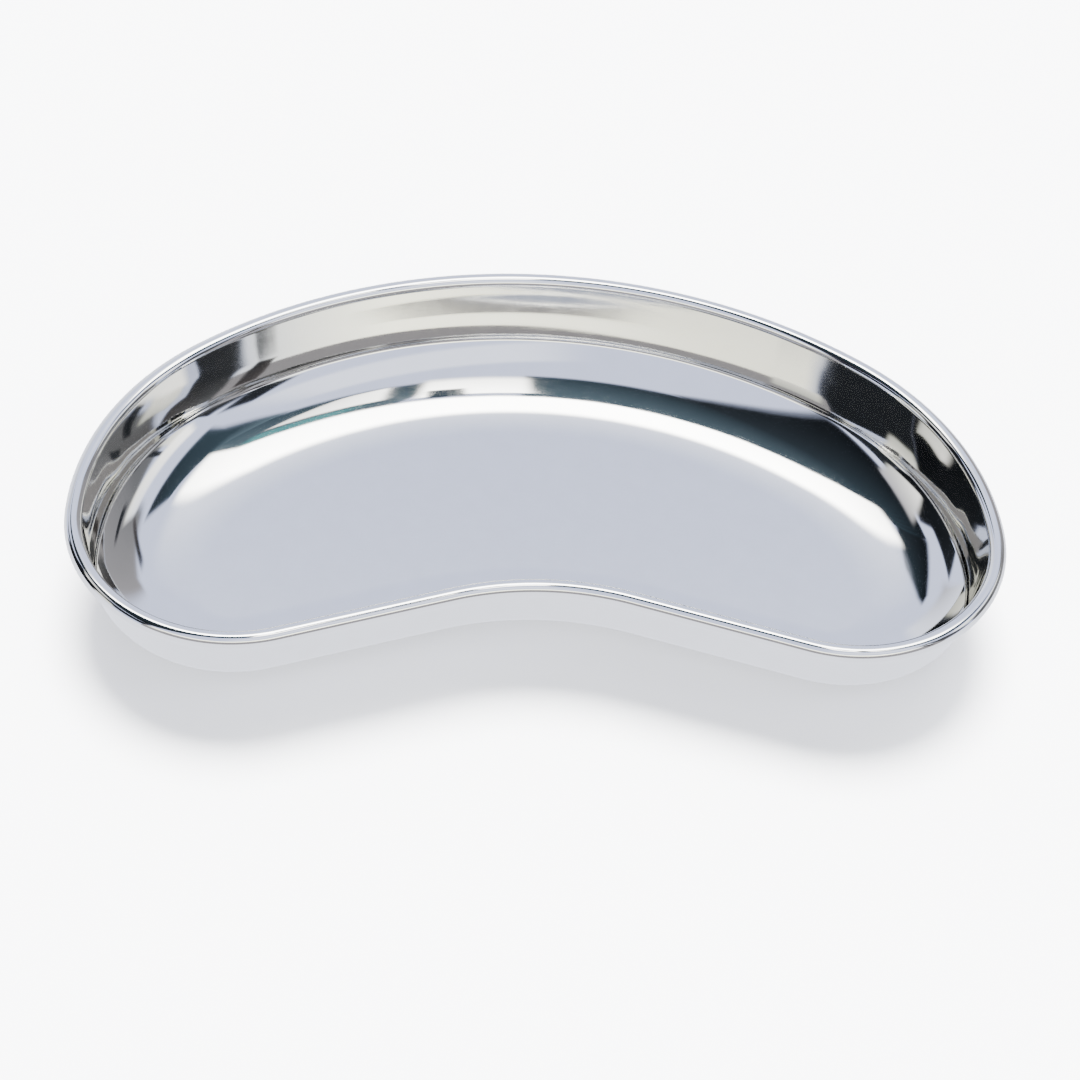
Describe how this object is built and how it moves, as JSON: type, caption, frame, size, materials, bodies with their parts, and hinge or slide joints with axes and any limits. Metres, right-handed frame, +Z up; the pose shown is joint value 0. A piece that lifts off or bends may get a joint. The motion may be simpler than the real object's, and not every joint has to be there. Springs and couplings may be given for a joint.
{
  "type": "kidney dish",
  "caption": "Kidney-shaped open dish pressed from polished stainless sheet: flat floor, wide rounded corner, steep straight wall and an outward-rolled hollow rim.",
  "frame": {"origin": "on the resting plane, below the middle of the dish's box", "axes": "+X along the length, +Y towards the rounded back of the kidney, -Y towards its waist, +Z up out of the open mouth"},
  "size_m": [0.25, 0.14, 0.032],
  "materials": {
    "polished_stainless": "mirror-polished stainless steel with faint polishing lines"
  },
  "bodies": {
    "root": {"dish_pressing": "polished_stainless"}
  },
  "joints": []
}
